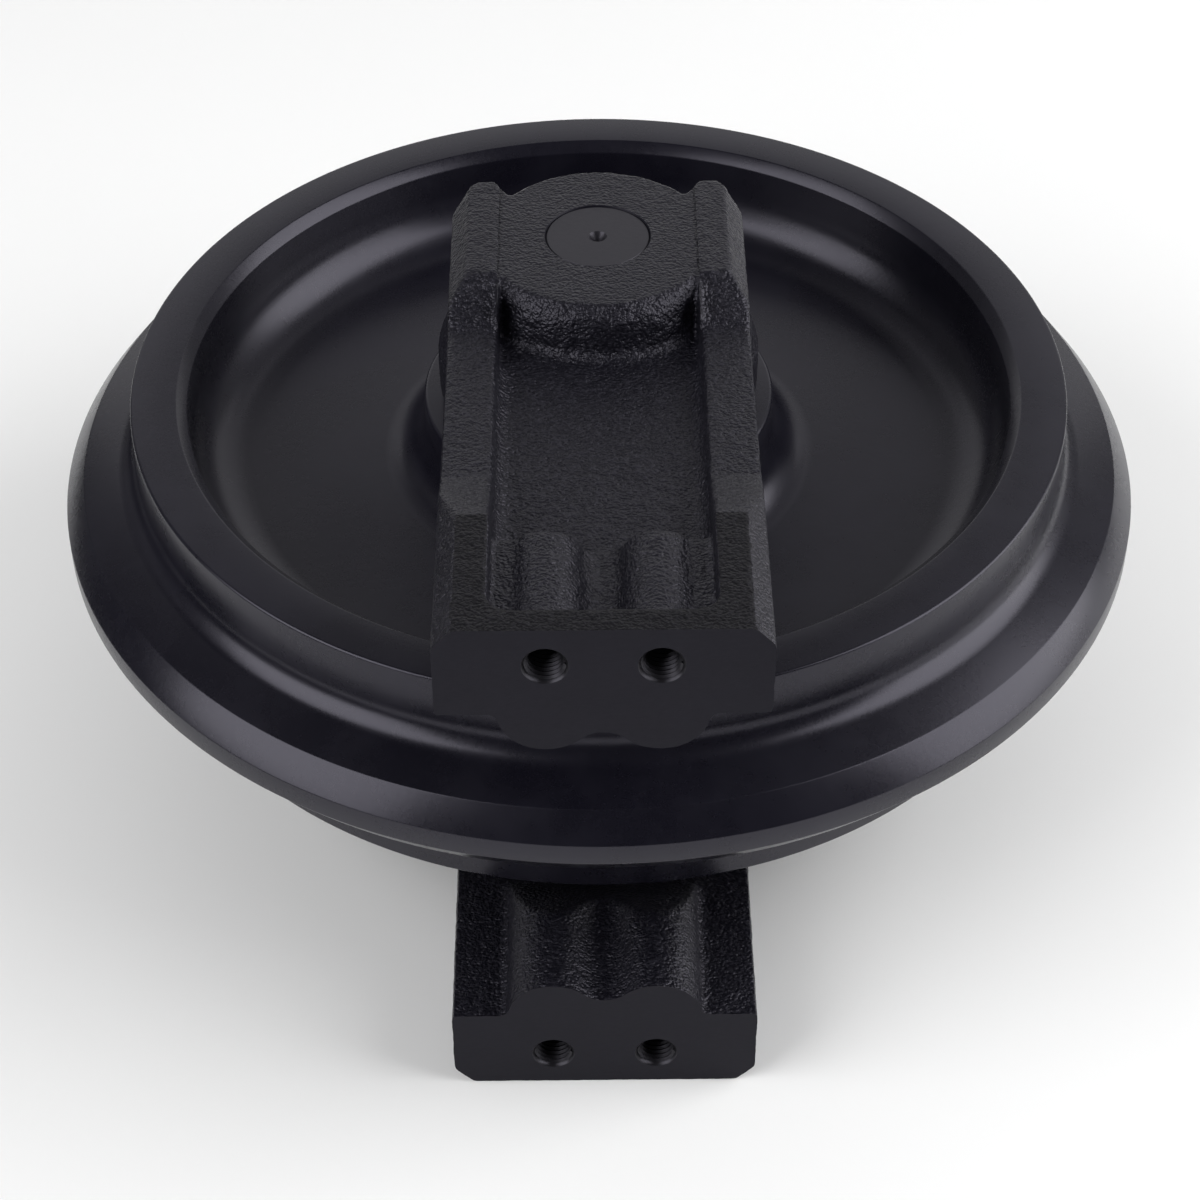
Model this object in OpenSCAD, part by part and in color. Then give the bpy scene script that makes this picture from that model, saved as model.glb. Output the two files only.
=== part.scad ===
/* [Wheel] */
// Diameter of the tread that the track links roll on
tread_d = 370; // [340:1:400]
// Overall width of the wheel over its two rim faces
wheel_w = 98; // [90:1:106]
// Height of the centre guide flange over the tread
flange_h = 30; // [26:0.5:36]
// Width of the flat land round the flange
flange_land_w = 9; // [6:0.5:12]
// Radial size of the chamfer on the flange edge
flange_bevel_h = 8; // [5:0.5:10]
// Axial size of the chamfer on the flange edge
flange_bevel_w = 10.5; // [8:0.5:12]
// Slope of the flange sides, in degrees
flange_taper = 17; // [12:1:24]
// Fillet between tread and flange side
tread_fillet_r = 11; // [8:0.5:13]
// Bevel on the outer edge of each tread
tread_bevel = 1; // [0.5:0.1:2]
// Thickness of the rim at its faces
rim_t = 18; // [14:0.5:22]
// Chamfer on the inner edge of each rim face
rim_bevel = 4; // [2:0.5:6]
// Draft of the recess wall over its depth
recess_draft = 2; // [0:0.25:3]
// Fillet between recess wall and web
web_fillet_r = 23; // [16:0.5:26]
// Thickness of the web
web_t = 24; // [18:1:28]
// Fillet between web and hub
hub_fillet_r = 18; // [10:1:22]
// Outer diameter of the hub
hub_d = 139; // [128:1:150]
// Length of the hub over its two end faces
hub_w = 84; // [78:1:90]
// Chamfer on the facing edges of hub and seal housing
hub_bevel = 1.5; // [0.5:0.1:2.5]

/* [Shaft and bushings] */
// Diameter of the axle shaft
shaft_d = 40; // [36:0.5:44]
// How far the shaft ends lie below the outer faces of the bosses
shaft_recess = 0.7; // [0.5:0.1:2]
// Chamfer on the shaft ends
shaft_bevel = 0.6; // [0.4:0.1:1.5]
// Diameter of the centre-drill mark in the shaft end
centre_mark_d = 7; // [5:0.5:9]
// Depth of the centre-drill mark's cone
centre_mark_h = 4; // [3:0.5:6]
// Diameter of the pilot hole below the cone
centre_pilot_d = 2.5; // [2:0.1:3.5]
// Depth of the pilot hole below the cone
centre_pilot_h = 3; // [2:0.5:5]
// Wall of the bushings
bushing_t = 5; // [4:0.25:6]
// Length of each bushing behind its flange
bushing_len = 22; // [18:0.5:24]
// How far the bushing flange stands out past the bushing
bushing_lip = 6; // [4:0.5:7]
// Thickness of the bushing flange
bushing_lip_t = 3; // [2:0.25:4]
// Depth of the oil chamber in the hub, beyond the bushing wall
oil_chamber_h = 3; // [2:0.25:5]
// Diameter of the oil drillings in the shaft
oil_hole_d = 8; // [6:0.5:10]
// Radial clearance between shaft and bushings
running_gap = 0.05; // [0.03:0.01:0.08]
// Clearance of pieces that sit fast in their seats
seat_gap = 0.02; // [0.01:0.01:0.03]
// End play between a bushing flange and the bracket nose
thrust_gap = 0.4; // [0.3:0.05:0.6]

/* [Face seals] */
// Depth of the seal chamber in each hub end
seal_depth = 12; // [11:0.5:14]
// Gap between the hub end and the bracket's seal housing
seal_slit = 4; // [3:0.25:5]
// Length of one metal seal ring
seal_ring_w = 8; // [7.5:0.25:8.5]
// Thickness of the seal ring's face flange
seal_face_t = 2.5; // [2.2:0.1:2.8]
// Wall of the seal ring behind its face flange
seal_wall = 3.6; // [3:0.1:4.5]
// Clearance between bracket nose and seal rings
seal_clear = 2; // [1:0.25:3]
// Thickness of the rubber toric rings
toric_d = 5.2; // [4.8:0.1:5.4]
// Slope of the ramp under each toric, in degrees
toric_ramp = 10; // [5:1:14]
// Gap between the two lapped seal faces
lapped_gap = 0.05; // [0.03:0.01:0.1]
// Thickness of the shaft's rubber rings
o_ring_d = 2.4; // [2:0.1:3]
// Spare width of the groove for a rubber ring
o_ring_room = 0.7; // [0.4:0.1:1.2]

/* [Brackets] */
// Width over the outer faces of both brackets
bracket_span = 232; // [222:1:242]
// Width of a bracket across its rails
bracket_w = 113; // [106:1:120]
// Distance from the axle to the bolted faces
bracket_reach = 223; // [208:1:240]
// Depth of a bracket from outer face to plate underside
bracket_t = 38; // [36:0.5:42]
// Thickness of the plate under the pocket
plate_t = 17; // [15:0.5:19]
// Width of each guide rail
rail_w = 18.5; // [16:0.5:21]
// How far the rails end beyond the axle
rail_end = 36; // [32:1:38]
// Width of the chamfer along each rail's outer edge
rail_bevel_w = 7; // [5:0.5:10]
// Depth of the chamfer along each rail's outer edge
rail_bevel_h = 7.5; // [5:0.5:10]
// Length of the chamfered corner at each rail's end
rail_corner = 12; // [8:0.5:14]
// Width of the chamfered corner at each rail's end
rail_corner_w = 9.5; // [7:0.5:11]
// Width of the notch between a rail's end and the boss
rail_notch = 6; // [4:0.5:8]
// Depth of the dip in the rails
rail_dip = 12; // [10:0.5:14]
// Distance from the axle to the start of the dip
dip_start = 25; // [20:1:30]
// Length of the slope down into the dip
dip_slope_in = 21.5; // [16:0.5:26]
// Length of the slope up out of the dip
dip_slope_out = 33; // [26:1:38]
// Length of the full-height rail behind the bolted face
rail_front_len = 59; // [52:1:66]
// Thickness of the wall behind the bolted face
front_wall_t = 11; // [9:0.5:14]
// Fillet in the pocket's corners and round its floor
pocket_fillet_r = 7; // [5:0.5:9]
// Diameter of the boss round the shaft end
boss_d = 87; // [82:1:92]
// How far the boss's outer face lies below the rails
boss_drop = 0.8; // [0.4:0.1:2]
// Distance from the axle to the straight part of the boss's wall
boss_wall_y = 39; // [36:1:42]
// Radius of the rounded apron at the top of the boss's wall
apron_r = 47; // [45:0.5:50]
// How far the apron's foot spreads out on the pocket floor
apron_spread = 8; // [5:0.5:12]
// Outer diameter of the round seal housing
housing_d = 126; // [118:1:132]
// Straight height of the seal housing
housing_h = 18; // [14:1:22]
// How far the seal housing narrows towards the plate
housing_taper = 5; // [3:0.5:6]
// Wall of the nose that guides the shaft inside the seal
nose_t = 6; // [5:0.5:7]
// Chamfer at the outer mouth of the shaft bore
bore_bevel = 0.6; // [0.4:0.1:1.5]

/* [Bolting and locking] */
// Diameter of the bolts in the bolted face
bolt_d = 14; // [12:0.5:16]
// Distance between the two bolts
bolt_spacing = 38.5; // [36:0.5:40]
// Distance from a bracket's outer face to its bolts
bolt_inset = 16; // [15:0.5:17]
// Depth of the bolt holes
bolt_depth = 45; // [38:1:48]
// Chamfer at the mouth of the bolt holes
bolt_bevel = 1; // [0.5:0.1:1.5]
// Half the point angle of the drill that made the bolt holes
drill_point = 59; // [45:1:65]
// Radius of the round ridges over the bolts in the pocket
ridge_r = 13; // [12:0.5:14]
// Length of the ridges behind the bolted face, at their foot
ridge_len = 58; // [55:1:62]
// How far the ridges' far ends lean back over their height
ridge_lean = 5; // [3:0.5:7]
// Radius of the valley between the ridges
ridge_valley_r = 8; // [7:0.5:10]
// Height of the shoulders beside the ridges over the bolts' axis
ridge_shoulder = 8; // [5:0.5:9]
// Radius of the two lobes under the bolts
lobe_r = 16.5; // [15:0.5:17.5]
// Radius of the valley between the lobes
valley_r = 10.5; // [8:0.5:13]
// Small fillet at the outer foot of each lobe
lobe_fillet_r = 3; // [2:0.25:4]
// Length of the lobes at full depth
lobe_len = 36; // [30:1:44]
// Length over which the lobes run out into the plate
lobe_runout = 30; // [22:1:36]
// Diameter of the lock pins
pin_d = 10; // [8:0.5:12]
// Wall of the rolled lock pins
pin_wall = 1.6; // [1.2:0.1:2]
// Slot in the rolled lock pins
pin_slot = 1.8; // [1.2:0.1:2.5]
// Length of the lock pins
pin_len = 50; // [44:1:56]
// Distance from a bracket's outer face to its lock pin
pin_inset = 26; // [22:1:30]

/* [Oil plug] */
// Diameter of the plug's thread
plug_d = 14; // [12:0.5:16]
// Diameter of the plug's head
plug_head_d = 19; // [18:0.5:21]
// Height of the plug's head
plug_head_h = 6; // [5:0.5:8]
// Length of the plug's thread
plug_len = 12; // [10:1:16]
// Size of the hexagon socket across its flats
plug_socket_w = 8; // [6:0.5:9]
// Depth of the hexagon socket
plug_socket_h = 4; // [3:0.5:4.5]
// Thickness of the plug's gasket
gasket_t = 1.5; // [1:0.1:2.5]
// Room round the plug's head and over it
plug_room = 1; // [0.5:0.1:2]

/* [Hidden] */
$fn = 96;

// Overlap that keeps cuts and joined shapes clean
over = 1;

// Wheel radii and heights, measured from the axle and from the wheel's middle plane
tread_r = tread_d / 2;
flange_r = tread_r + flange_h;
shoulder_r = flange_r - flange_bevel_h;
shoulder_z = flange_land_w / 2 + flange_bevel_w;
rim_z = wheel_w / 2;
rim_inner_r = tread_r - rim_t;
web_z = web_t / 2;
recess_r = rim_inner_r - rim_bevel;
recess_foot_r = recess_r - recess_draft;
hub_r = hub_d / 2;
hub_z = hub_w / 2;

// The flange side meets the tread at this height, and the fillet touches both
flange_foot_z = shoulder_z + (shoulder_r - tread_r) * tan(flange_taper);
fillet_reach = tread_fillet_r * tan(45 - flange_taper / 2);

// Shaft, bushings and seal, from the shaft outwards
shaft_r = shaft_d / 2;
bushing_bore_r = shaft_r + running_gap;
bushing_r = bushing_bore_r + bushing_t;
lip_r = bushing_r + bushing_lip;
hub_bore_r = bushing_r + seat_gap;
bracket_bore_r = shaft_r + seat_gap;
nose_r = bracket_bore_r + nose_t;
ring_bore_r = nose_r + seal_clear;
ring_wall_r = ring_bore_r + seal_wall;
toric_r = ring_wall_r + toric_d / 2 + seat_gap;
seal_bore_r = toric_r + toric_d / 2 + seat_gap;
ring_face_r = toric_r + toric_d / 4;

// Heights along the axle
chamber_z = hub_z - seal_depth;
bushing_end_z = chamber_z - bushing_len;
lip_z = chamber_z + bushing_lip_t;
nose_z = lip_z + thrust_gap;
housing_z = hub_z + seal_slit;
seal_z = hub_z + seal_slit / 2;
toric_z = seal_face_t + toric_d / 2 + seat_gap;
out_z = bracket_span / 2;
plate_z = out_z - bracket_t;
floor_z = plate_z + plate_t;
bolt_z = out_z - bolt_inset;
pin_z = out_z - pin_inset;
boss_z = out_z - boss_drop;
shaft_end_z = boss_z - shaft_recess;
o_ring_z = (housing_z + seal_ring_w + pin_z) / 2;

// Bracket outline
half_w = bracket_w / 2;
pocket_half_w = half_w - rail_w;
boss_r = boss_d / 2;
housing_r = housing_d / 2;
bolt_x = bolt_spacing / 2;
bolt_r = bolt_d / 2;
pocket_front_y = -bracket_reach + front_wall_t;
notch_x = pocket_half_w - rail_notch * 2 / 3;
notch_y = sqrt(boss_r * boss_r - notch_x * notch_x);

// Plug seat in the lower shaft end
plug_seat_h = plug_head_h + gasket_t + plug_room;
plug_seat_z = -shaft_end_z + plug_seat_h;

paint = "#2b2b30";
cast_paint = "#34343a";
steel = "#8f9399";
bronze = "#b08a4a";
rubber = "#1b1b1b";
copper = "#b8734a";

// Material left in the corner of two edges at right angles, rounded by a fillet
module corner_fill(corner, radius, turn) {
    translate(corner)
        mirror([turn[0] < 0 ? 1 : 0, 0])
            mirror([0, turn[1] < 0 ? 1 : 0])
                difference() {
                    translate([-over, -over])
                        square(radius + over);
                    translate([radius, radius])
                        circle(r = radius);
                }
}

// Rim and flange of one half of the wheel, radius along x and height along y
module rim_half() {
    centre = [tread_r + tread_fillet_r, flange_foot_z + fillet_reach];
    difference() {
        polygon([
            [recess_foot_r, -over],
            [flange_r, -over],
            [flange_r, flange_land_w / 2],
            [shoulder_r, shoulder_z],
            centre - tread_fillet_r * [sin(flange_taper), cos(flange_taper)],
            centre,
            [tread_r, centre[1]],
            [tread_r, rim_z - tread_bevel],
            [tread_r - tread_bevel, rim_z],
            [rim_inner_r, rim_z],
            [recess_r, rim_z - rim_bevel],
            [recess_foot_r, web_z + web_fillet_r]
        ]);
        translate(centre)
            circle(r = tread_fillet_r);
    }
}

// Web and hub of one half of the wheel with the seal chamber and the bushing seat
module hub_half() {
    difference() {
        union() {
            translate([0, -over])
                square([recess_foot_r + over, web_z + over]);
            polygon([
                [0, -over],
                [hub_r, -over],
                [hub_r, hub_z - hub_bevel],
                [hub_r - hub_bevel, hub_z],
                [0, hub_z]
            ]);
            corner_fill([hub_r, web_z], hub_fillet_r, [1, 1]);
            corner_fill([recess_foot_r, web_z], web_fillet_r, [-1, 1]);
        }
        translate([0, -2 * over])
            square([hub_bore_r, hub_z + 3 * over]);
        translate([0, -2 * over])
            square([hub_bore_r + oil_chamber_h, bushing_end_z + 2 * over]);
        translate([0, chamber_z])
            square([seal_bore_r, seal_depth + over]);
    }
}

module idler_wheel() {
    color(paint)
        rotate_extrude()
            for (side = [0, 1])
                mirror([0, side])
                    union() {
                        rim_half();
                        hub_half();
                    }
}

// Flanged bushing, with an oil groove round its middle
module bushing() {
    color(bronze)
        rotate_extrude()
            difference() {
                union() {
                    translate([bushing_bore_r, bushing_end_z])
                        square([bushing_t, bushing_len + over]);
                    translate([bushing_bore_r, chamber_z])
                        square([bushing_t + bushing_lip, bushing_lip_t]);
                }
                translate([bushing_bore_r - over, chamber_z - bushing_len / 2 - bushing_t / 2])
                    square([over + bushing_t / 4, bushing_t]);
            }
}

// Metal face-seal ring, its lapped face at height 0 and its body below
module seal_ring() {
    ramp_h = seal_ring_w - seal_face_t;
    ramp_drop = ramp_h * tan(toric_ramp) / 2;
    color(steel)
        rotate_extrude()
            polygon([
                [ring_bore_r, -seal_ring_w],
                [ring_wall_r - ramp_drop, -seal_ring_w],
                [ring_wall_r, -toric_z],
                [ring_wall_r, -seal_face_t],
                [ring_face_r, -seal_face_t],
                [ring_face_r, 0],
                [ring_bore_r, 0]
            ]);
}

// Rubber ring between a seal ring and its chamber
module toric() {
    color(rubber)
        rotate_extrude()
            translate([toric_r, -toric_z])
                circle(d = toric_d);
}

module hub_side() {
    translate([0, 0, seal_z - lapped_gap / 2])
        children();
}

module bracket_side() {
    translate([0, 0, seal_z + lapped_gap / 2])
        mirror([0, 0, 1])
            children();
}

module lower() {
    mirror([0, 0, 1])
        children();
}

// Lock pin hole or pin body along y, touching the shaft with half of its width
module across_shaft(radius, length) {
    translate([shaft_r, 0, pin_z])
        rotate([90, 0, 0])
            cylinder(r = radius, h = length, center = true);
}

module o_ring_groove() {
    rotate_extrude()
        translate([shaft_r - o_ring_d, o_ring_z - (o_ring_d + o_ring_room) / 2])
            square([o_ring_d + over, o_ring_d + o_ring_room]);
}

// Axle with locking notches, ring grooves, a centre mark, oil drillings and a plug seat
module axle_shaft() {
    color(steel)
        difference() {
            rotate_extrude()
                polygon([
                    [0, -shaft_end_z],
                    [shaft_r - shaft_bevel, -shaft_end_z],
                    [shaft_r, -shaft_end_z + shaft_bevel],
                    [shaft_r, shaft_end_z - shaft_bevel],
                    [shaft_r - shaft_bevel, shaft_end_z],
                    [0, shaft_end_z]
                ]);
            for (side = [0, 1])
                mirror([0, 0, side]) {
                    across_shaft(pin_d / 2 + seat_gap, 4 * shaft_d);
                    o_ring_groove();
                }
            translate([0, 0, shaft_end_z - centre_mark_h])
                cylinder(d1 = centre_pilot_d, d2 = centre_mark_d, h = centre_mark_h);
            translate([0, 0, shaft_end_z - centre_mark_h - centre_pilot_h])
                cylinder(d = centre_pilot_d, h = centre_mark_h + centre_pilot_h);
            translate([0, 0, -shaft_end_z])
                cylinder(d = oil_hole_d, h = shaft_end_z);
            rotate([0, 90, 0])
                cylinder(d = oil_hole_d, h = 4 * shaft_d, center = true);
            translate([0, 0, -shaft_end_z - over])
                cylinder(d = plug_head_d + 2 * plug_room, h = plug_seat_h + over);
            translate([0, 0, -shaft_end_z])
                cylinder(d = plug_d + 2 * seat_gap, h = plug_seat_h + plug_len + plug_room);
        }
}

module o_ring() {
    color(rubber)
        rotate_extrude()
            translate([shaft_r - o_ring_d / 2, o_ring_z])
                circle(d = o_ring_d - 2 * seat_gap);
}

// Rolled spring pin with a slot along its outer side
module lock_pin() {
    color(steel)
        difference() {
            across_shaft(pin_d / 2, pin_len);
            across_shaft(pin_d / 2 - pin_wall, pin_len + 2 * over);
            translate([shaft_r, -pin_len / 2 - over, pin_z - pin_slot / 2])
                cube([pin_d, pin_len + 2 * over, pin_slot]);
        }
}

module oil_plug() {
    color(steel)
        difference() {
            union() {
                translate([0, 0, plug_seat_z - gasket_t - plug_head_h])
                    cylinder(d = plug_head_d, h = plug_head_h);
                translate([0, 0, plug_seat_z - gasket_t - over])
                    cylinder(d = plug_d, h = gasket_t + plug_len + over);
            }
            translate([0, 0, plug_seat_z - gasket_t - plug_head_h - over])
                cylinder(d = plug_socket_w / cos(30), h = plug_socket_h + over, $fn = 6);
        }
}

module plug_gasket() {
    color(copper)
        translate([0, 0, plug_seat_z - gasket_t])
            difference() {
                cylinder(d = plug_head_d, h = gasket_t);
                translate([0, 0, -over])
                    cylinder(d = plug_d + 2 * seat_gap, h = gasket_t + 2 * over);
            }
}

// Section drawn in x and z, pulled from the bolted face back over a length
module along_bracket(length) {
    translate([0, length - bracket_reach, 0])
        rotate([90, 0, 0])
            linear_extrude(length)
                children();
}

// Profile drawn in y and z, pulled across the bracket from one x to another
module across_bracket(from_x, to_x) {
    translate([from_x, 0, 0])
        rotate([90, 0, 90])
            linear_extrude(to_x - from_x)
                children();
}

// Cross-section of the bracket, its outer corners chamfered along the rails
module rail_section() {
    polygon([
        [-half_w, plate_z],
        [half_w, plate_z],
        [half_w, out_z - rail_bevel_h],
        [half_w - rail_bevel_w, out_z],
        [-half_w + rail_bevel_w, out_z],
        [-half_w, out_z - rail_bevel_h]
    ]);
}

// Outline of the bracket from above, with notches between rail ends and boss
module bracket_plan() {
    for (side = [0, 1])
        mirror([side, 0])
            polygon([
                [-over, -bracket_reach],
                [half_w, -bracket_reach],
                [half_w, rail_end - rail_corner],
                [half_w - rail_corner_w, rail_end],
                [notch_x + rail_notch, rail_end],
                [notch_x, notch_y],
                [-over, 0]
            ]);
    circle(r = boss_r);
}

// Two lobes under the bolts, joined by a rounded valley and footed by small fillets
module lobe_section() {
    valley_z = plate_z - sqrt(pow(lobe_r + valley_r, 2) - pow(bolt_x, 2));
    foot_x = sqrt(pow(lobe_r + lobe_fillet_r, 2) - pow(lobe_fillet_r, 2));
    for (side = [-1, 1])
        translate([side * bolt_x, plate_z]) {
            circle(r = lobe_r);
            difference() {
                polygon([[0, over], [side * foot_x, over], [side * foot_x, -lobe_fillet_r], [0, 0]]);
                translate([side * foot_x, -lobe_fillet_r])
                    circle(r = lobe_fillet_r);
            }
        }
    difference() {
        polygon([
            [-bolt_x, plate_z + over],
            [-bolt_x, plate_z],
            [0, valley_z],
            [bolt_x, plate_z],
            [bolt_x, plate_z + over]
        ]);
        translate([0, valley_z])
            circle(r = valley_r);
    }
}

module bolt_lobes() {
    intersection() {
        along_bracket(lobe_len + lobe_runout)
            lobe_section();
        across_bracket(-half_w, half_w)
            polygon([
                [-bracket_reach, plate_z + lobe_r / 2],
                [-bracket_reach, plate_z - lobe_r],
                [-bracket_reach + lobe_len, plate_z - lobe_r],
                [-bracket_reach + lobe_len + lobe_runout, plate_z],
                [-bracket_reach + lobe_len + lobe_runout, plate_z + lobe_r / 2]
            ]);
    }
}

// Round housing that carries the standing half of the seal
module seal_housing() {
    rotate_extrude()
        polygon([
            [0, housing_z],
            [housing_r - hub_bevel, housing_z],
            [housing_r, housing_z + hub_bevel],
            [housing_r, housing_z + housing_h],
            [housing_r - housing_taper, plate_z],
            [housing_r - housing_taper, plate_z + over],
            [0, plate_z + over]
        ]);
    rotate_extrude()
        translate([0, nose_z])
            square([nose_r, plate_z - nose_z]);
}

// Pocket between the rails, its floor and corners rounded by one fillet
module rail_pocket() {
    reach_x = pocket_half_w - pocket_fillet_r;
    front_y = pocket_front_y + pocket_fillet_r;
    back_y = -boss_wall_y - pocket_fillet_r;
    round_z = floor_z + pocket_fillet_r;
    wall_h = out_z - round_z + over;
    translate([-reach_x, front_y, floor_z])
        cube([2 * reach_x, back_y - front_y, out_z - floor_z + over]);
    translate([-pocket_half_w, front_y, round_z])
        cube([2 * pocket_half_w, back_y - front_y, wall_h]);
    translate([-reach_x, pocket_front_y, round_z])
        cube([2 * reach_x, -boss_wall_y - pocket_front_y, wall_h]);
    for (x = [-reach_x, reach_x]) {
        translate([x, back_y, round_z])
            rotate([90, 0, 0])
                cylinder(r = pocket_fillet_r, h = back_y - front_y);
        for (y = [front_y, back_y])
            translate([x, y, round_z]) {
                sphere(r = pocket_fillet_r);
                cylinder(r = pocket_fillet_r, h = wall_h);
            }
    }
    for (y = [front_y, back_y])
        translate([-reach_x, y, round_z])
            rotate([0, 90, 0])
                cylinder(r = pocket_fillet_r, h = 2 * reach_x);
}

// Rounded slope from the top of the boss down to the pocket floor
module boss_apron() {
    apron_h = out_z - floor_z + over;
    intersection() {
        translate([0, 0, floor_z - over])
            cylinder(r1 = apron_r + apron_spread, r2 = apron_r, h = apron_h);
        translate([-pocket_half_w - over, -2 * apron_r, floor_z - 2 * over])
            cube([2 * (pocket_half_w + over), 2 * apron_r, apron_h + 2 * over]);
    }
}

// Two ridges over the bolts, joined by a rounded valley, with shoulders to the pocket's sides
module ridge_section() {
    valley_z = bolt_z + sqrt(pow(ridge_r + ridge_valley_r, 2) - pow(bolt_x, 2));
    foot_z = floor_z - over;
    for (side = [-1, 1]) {
        translate([side * bolt_x, bolt_z])
            circle(r = ridge_r);
        polygon([
            [side * bolt_x, foot_z],
            [side * (pocket_half_w + over), foot_z],
            [side * (pocket_half_w + over), bolt_z + ridge_shoulder],
            [side * bolt_x, bolt_z + ridge_shoulder]
        ]);
    }
    difference() {
        polygon([
            [-bolt_x, foot_z],
            [-bolt_x, bolt_z],
            [0, valley_z],
            [bolt_x, bolt_z],
            [bolt_x, foot_z]
        ]);
        translate([0, valley_z])
            circle(r = ridge_valley_r);
    }
}

module bolt_ridges() {
    intersection() {
        along_bracket(ridge_len + over)
            ridge_section();
        across_bracket(-half_w, half_w)
            polygon([
                [-bracket_reach + front_wall_t / 2, plate_z],
                [-bracket_reach + ridge_len, plate_z],
                [-bracket_reach + ridge_len, floor_z],
                [-bracket_reach + ridge_len - ridge_lean, out_z],
                [-bracket_reach + front_wall_t / 2, out_z]
            ]);
    }
}

// Shallow cut that sets the outer face of the boss below the rails
module boss_cut() {
    translate([-pocket_half_w, -2 * apron_r, boss_z])
        cube([2 * pocket_half_w, 2 * apron_r + boss_r + over, boss_drop + over]);
}

// Dip in one guide rail, with a slope at each end
module rail_dip_cut() {
    dip_end = bracket_reach - rail_front_len;
    across_bracket(pocket_half_w, half_w + over)
        polygon([
            [-dip_start, out_z],
            [-dip_start - dip_slope_in, out_z - rail_dip],
            [-dip_end + dip_slope_out, out_z - rail_dip],
            [-dip_end, out_z],
            [-dip_end, out_z + over],
            [-dip_start, out_z + over]
        ]);
}

module bolt_hole() {
    rotate([-90, 0, 0]) {
        cylinder(r = bolt_r, h = bolt_depth);
        translate([0, 0, bolt_depth])
            cylinder(r1 = bolt_r, r2 = 0, h = bolt_r / tan(drill_point));
        translate([0, 0, -over])
            cylinder(r1 = bolt_r + bolt_bevel + over, r2 = bolt_r, h = bolt_bevel + over);
    }
}

// Shaft bore, seal chamber and lock pin hole
module bracket_bores() {
    translate([0, 0, nose_z - over])
        cylinder(r = bracket_bore_r, h = out_z - nose_z + 2 * over);
    translate([0, 0, boss_z - bore_bevel])
        cylinder(r1 = bracket_bore_r, r2 = bracket_bore_r + bore_bevel + over, h = bore_bevel + over);
    rotate_extrude()
        translate([nose_r, housing_z - over])
            square([seal_bore_r - nose_r, seal_ring_w + over]);
    translate([shaft_r, boss_d, pin_z])
        rotate([90, 0, 0])
            cylinder(r = pin_d / 2 + seat_gap, h = boss_d + pin_len / 2);
}

module bracket() {
    color(cast_paint)
        difference() {
            union() {
                difference() {
                    union() {
                        intersection() {
                            along_bracket(bracket_reach + boss_r)
                                rail_section();
                            translate([0, 0, plate_z - over])
                                linear_extrude(bracket_t + 2 * over)
                                    bracket_plan();
                        }
                        bolt_lobes();
                        seal_housing();
                    }
                    rail_pocket();
                }
                boss_apron();
                bolt_ridges();
            }
            for (side = [0, 1])
                mirror([side, 0, 0])
                    rail_dip_cut();
            boss_cut();
            for (side = [-1, 1])
                translate([side * bolt_x, -bracket_reach, bolt_z])
                    bolt_hole();
            bracket_bores();
        }
}

idler_wheel();
bushing();  // upper_bushing
lower() bushing();  // lower_bushing
axle_shaft();
bracket();  // upper_bracket
lower() bracket();  // lower_bracket
hub_side() seal_ring();  // upper_hub_seal_ring
lower() hub_side() seal_ring();  // lower_hub_seal_ring
bracket_side() seal_ring();  // upper_bracket_seal_ring
lower() bracket_side() seal_ring();  // lower_bracket_seal_ring
hub_side() toric();  // upper_hub_toric
lower() hub_side() toric();  // lower_hub_toric
bracket_side() toric();  // upper_bracket_toric
lower() bracket_side() toric();  // lower_bracket_toric
o_ring();  // upper_shaft_o_ring
lower() o_ring();  // lower_shaft_o_ring
lock_pin();  // upper_lock_pin
lower() lock_pin();  // lower_lock_pin
oil_plug();
plug_gasket();
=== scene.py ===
"""Front idler of an excavator: wheel, guide brackets, shaft and seals, in a plain studio."""

import logging
import math
from collections.abc import Callable, Iterator, Sequence
from contextlib import contextmanager
from dataclasses import dataclass
from enum import Enum
from typing import Any

import bpy
from mathutils import Matrix, Vector


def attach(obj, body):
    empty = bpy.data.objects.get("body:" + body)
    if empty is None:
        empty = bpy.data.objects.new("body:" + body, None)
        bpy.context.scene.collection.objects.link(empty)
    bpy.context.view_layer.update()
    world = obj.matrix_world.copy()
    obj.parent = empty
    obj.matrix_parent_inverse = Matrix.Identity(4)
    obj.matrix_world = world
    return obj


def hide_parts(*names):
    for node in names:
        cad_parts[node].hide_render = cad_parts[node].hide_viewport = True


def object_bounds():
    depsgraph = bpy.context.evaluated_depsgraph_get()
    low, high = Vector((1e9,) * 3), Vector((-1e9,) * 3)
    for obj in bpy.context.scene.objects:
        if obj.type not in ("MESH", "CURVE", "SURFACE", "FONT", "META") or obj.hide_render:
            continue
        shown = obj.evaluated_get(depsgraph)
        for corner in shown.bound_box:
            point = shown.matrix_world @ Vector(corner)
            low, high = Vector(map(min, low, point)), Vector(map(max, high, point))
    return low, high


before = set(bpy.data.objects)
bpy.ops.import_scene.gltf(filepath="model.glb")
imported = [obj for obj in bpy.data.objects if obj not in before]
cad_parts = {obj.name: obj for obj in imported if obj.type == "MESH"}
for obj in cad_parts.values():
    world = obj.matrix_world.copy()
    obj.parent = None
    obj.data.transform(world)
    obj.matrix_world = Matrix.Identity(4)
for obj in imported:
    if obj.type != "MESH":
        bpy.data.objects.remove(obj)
CAD_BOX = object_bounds()
LOG = logging.getLogger("front_idler")
MM = 0.001

Colour = tuple[float, float, float]
Point = tuple[float, float]
PAINT_SHEEN = (0.88, 0.85, 1.0, 1.0)
WELD_GAP = 0.001 * MM
FLAT = 0.999
NEARLY_FLAT = 0.99
SMALL_ROUND = 3.0
SMALL_ARC_STEP = 22.0
LARGE_ARC_STEP = 6.0
COARSE_TURN = 64
FINE_TURN = 128


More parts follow.
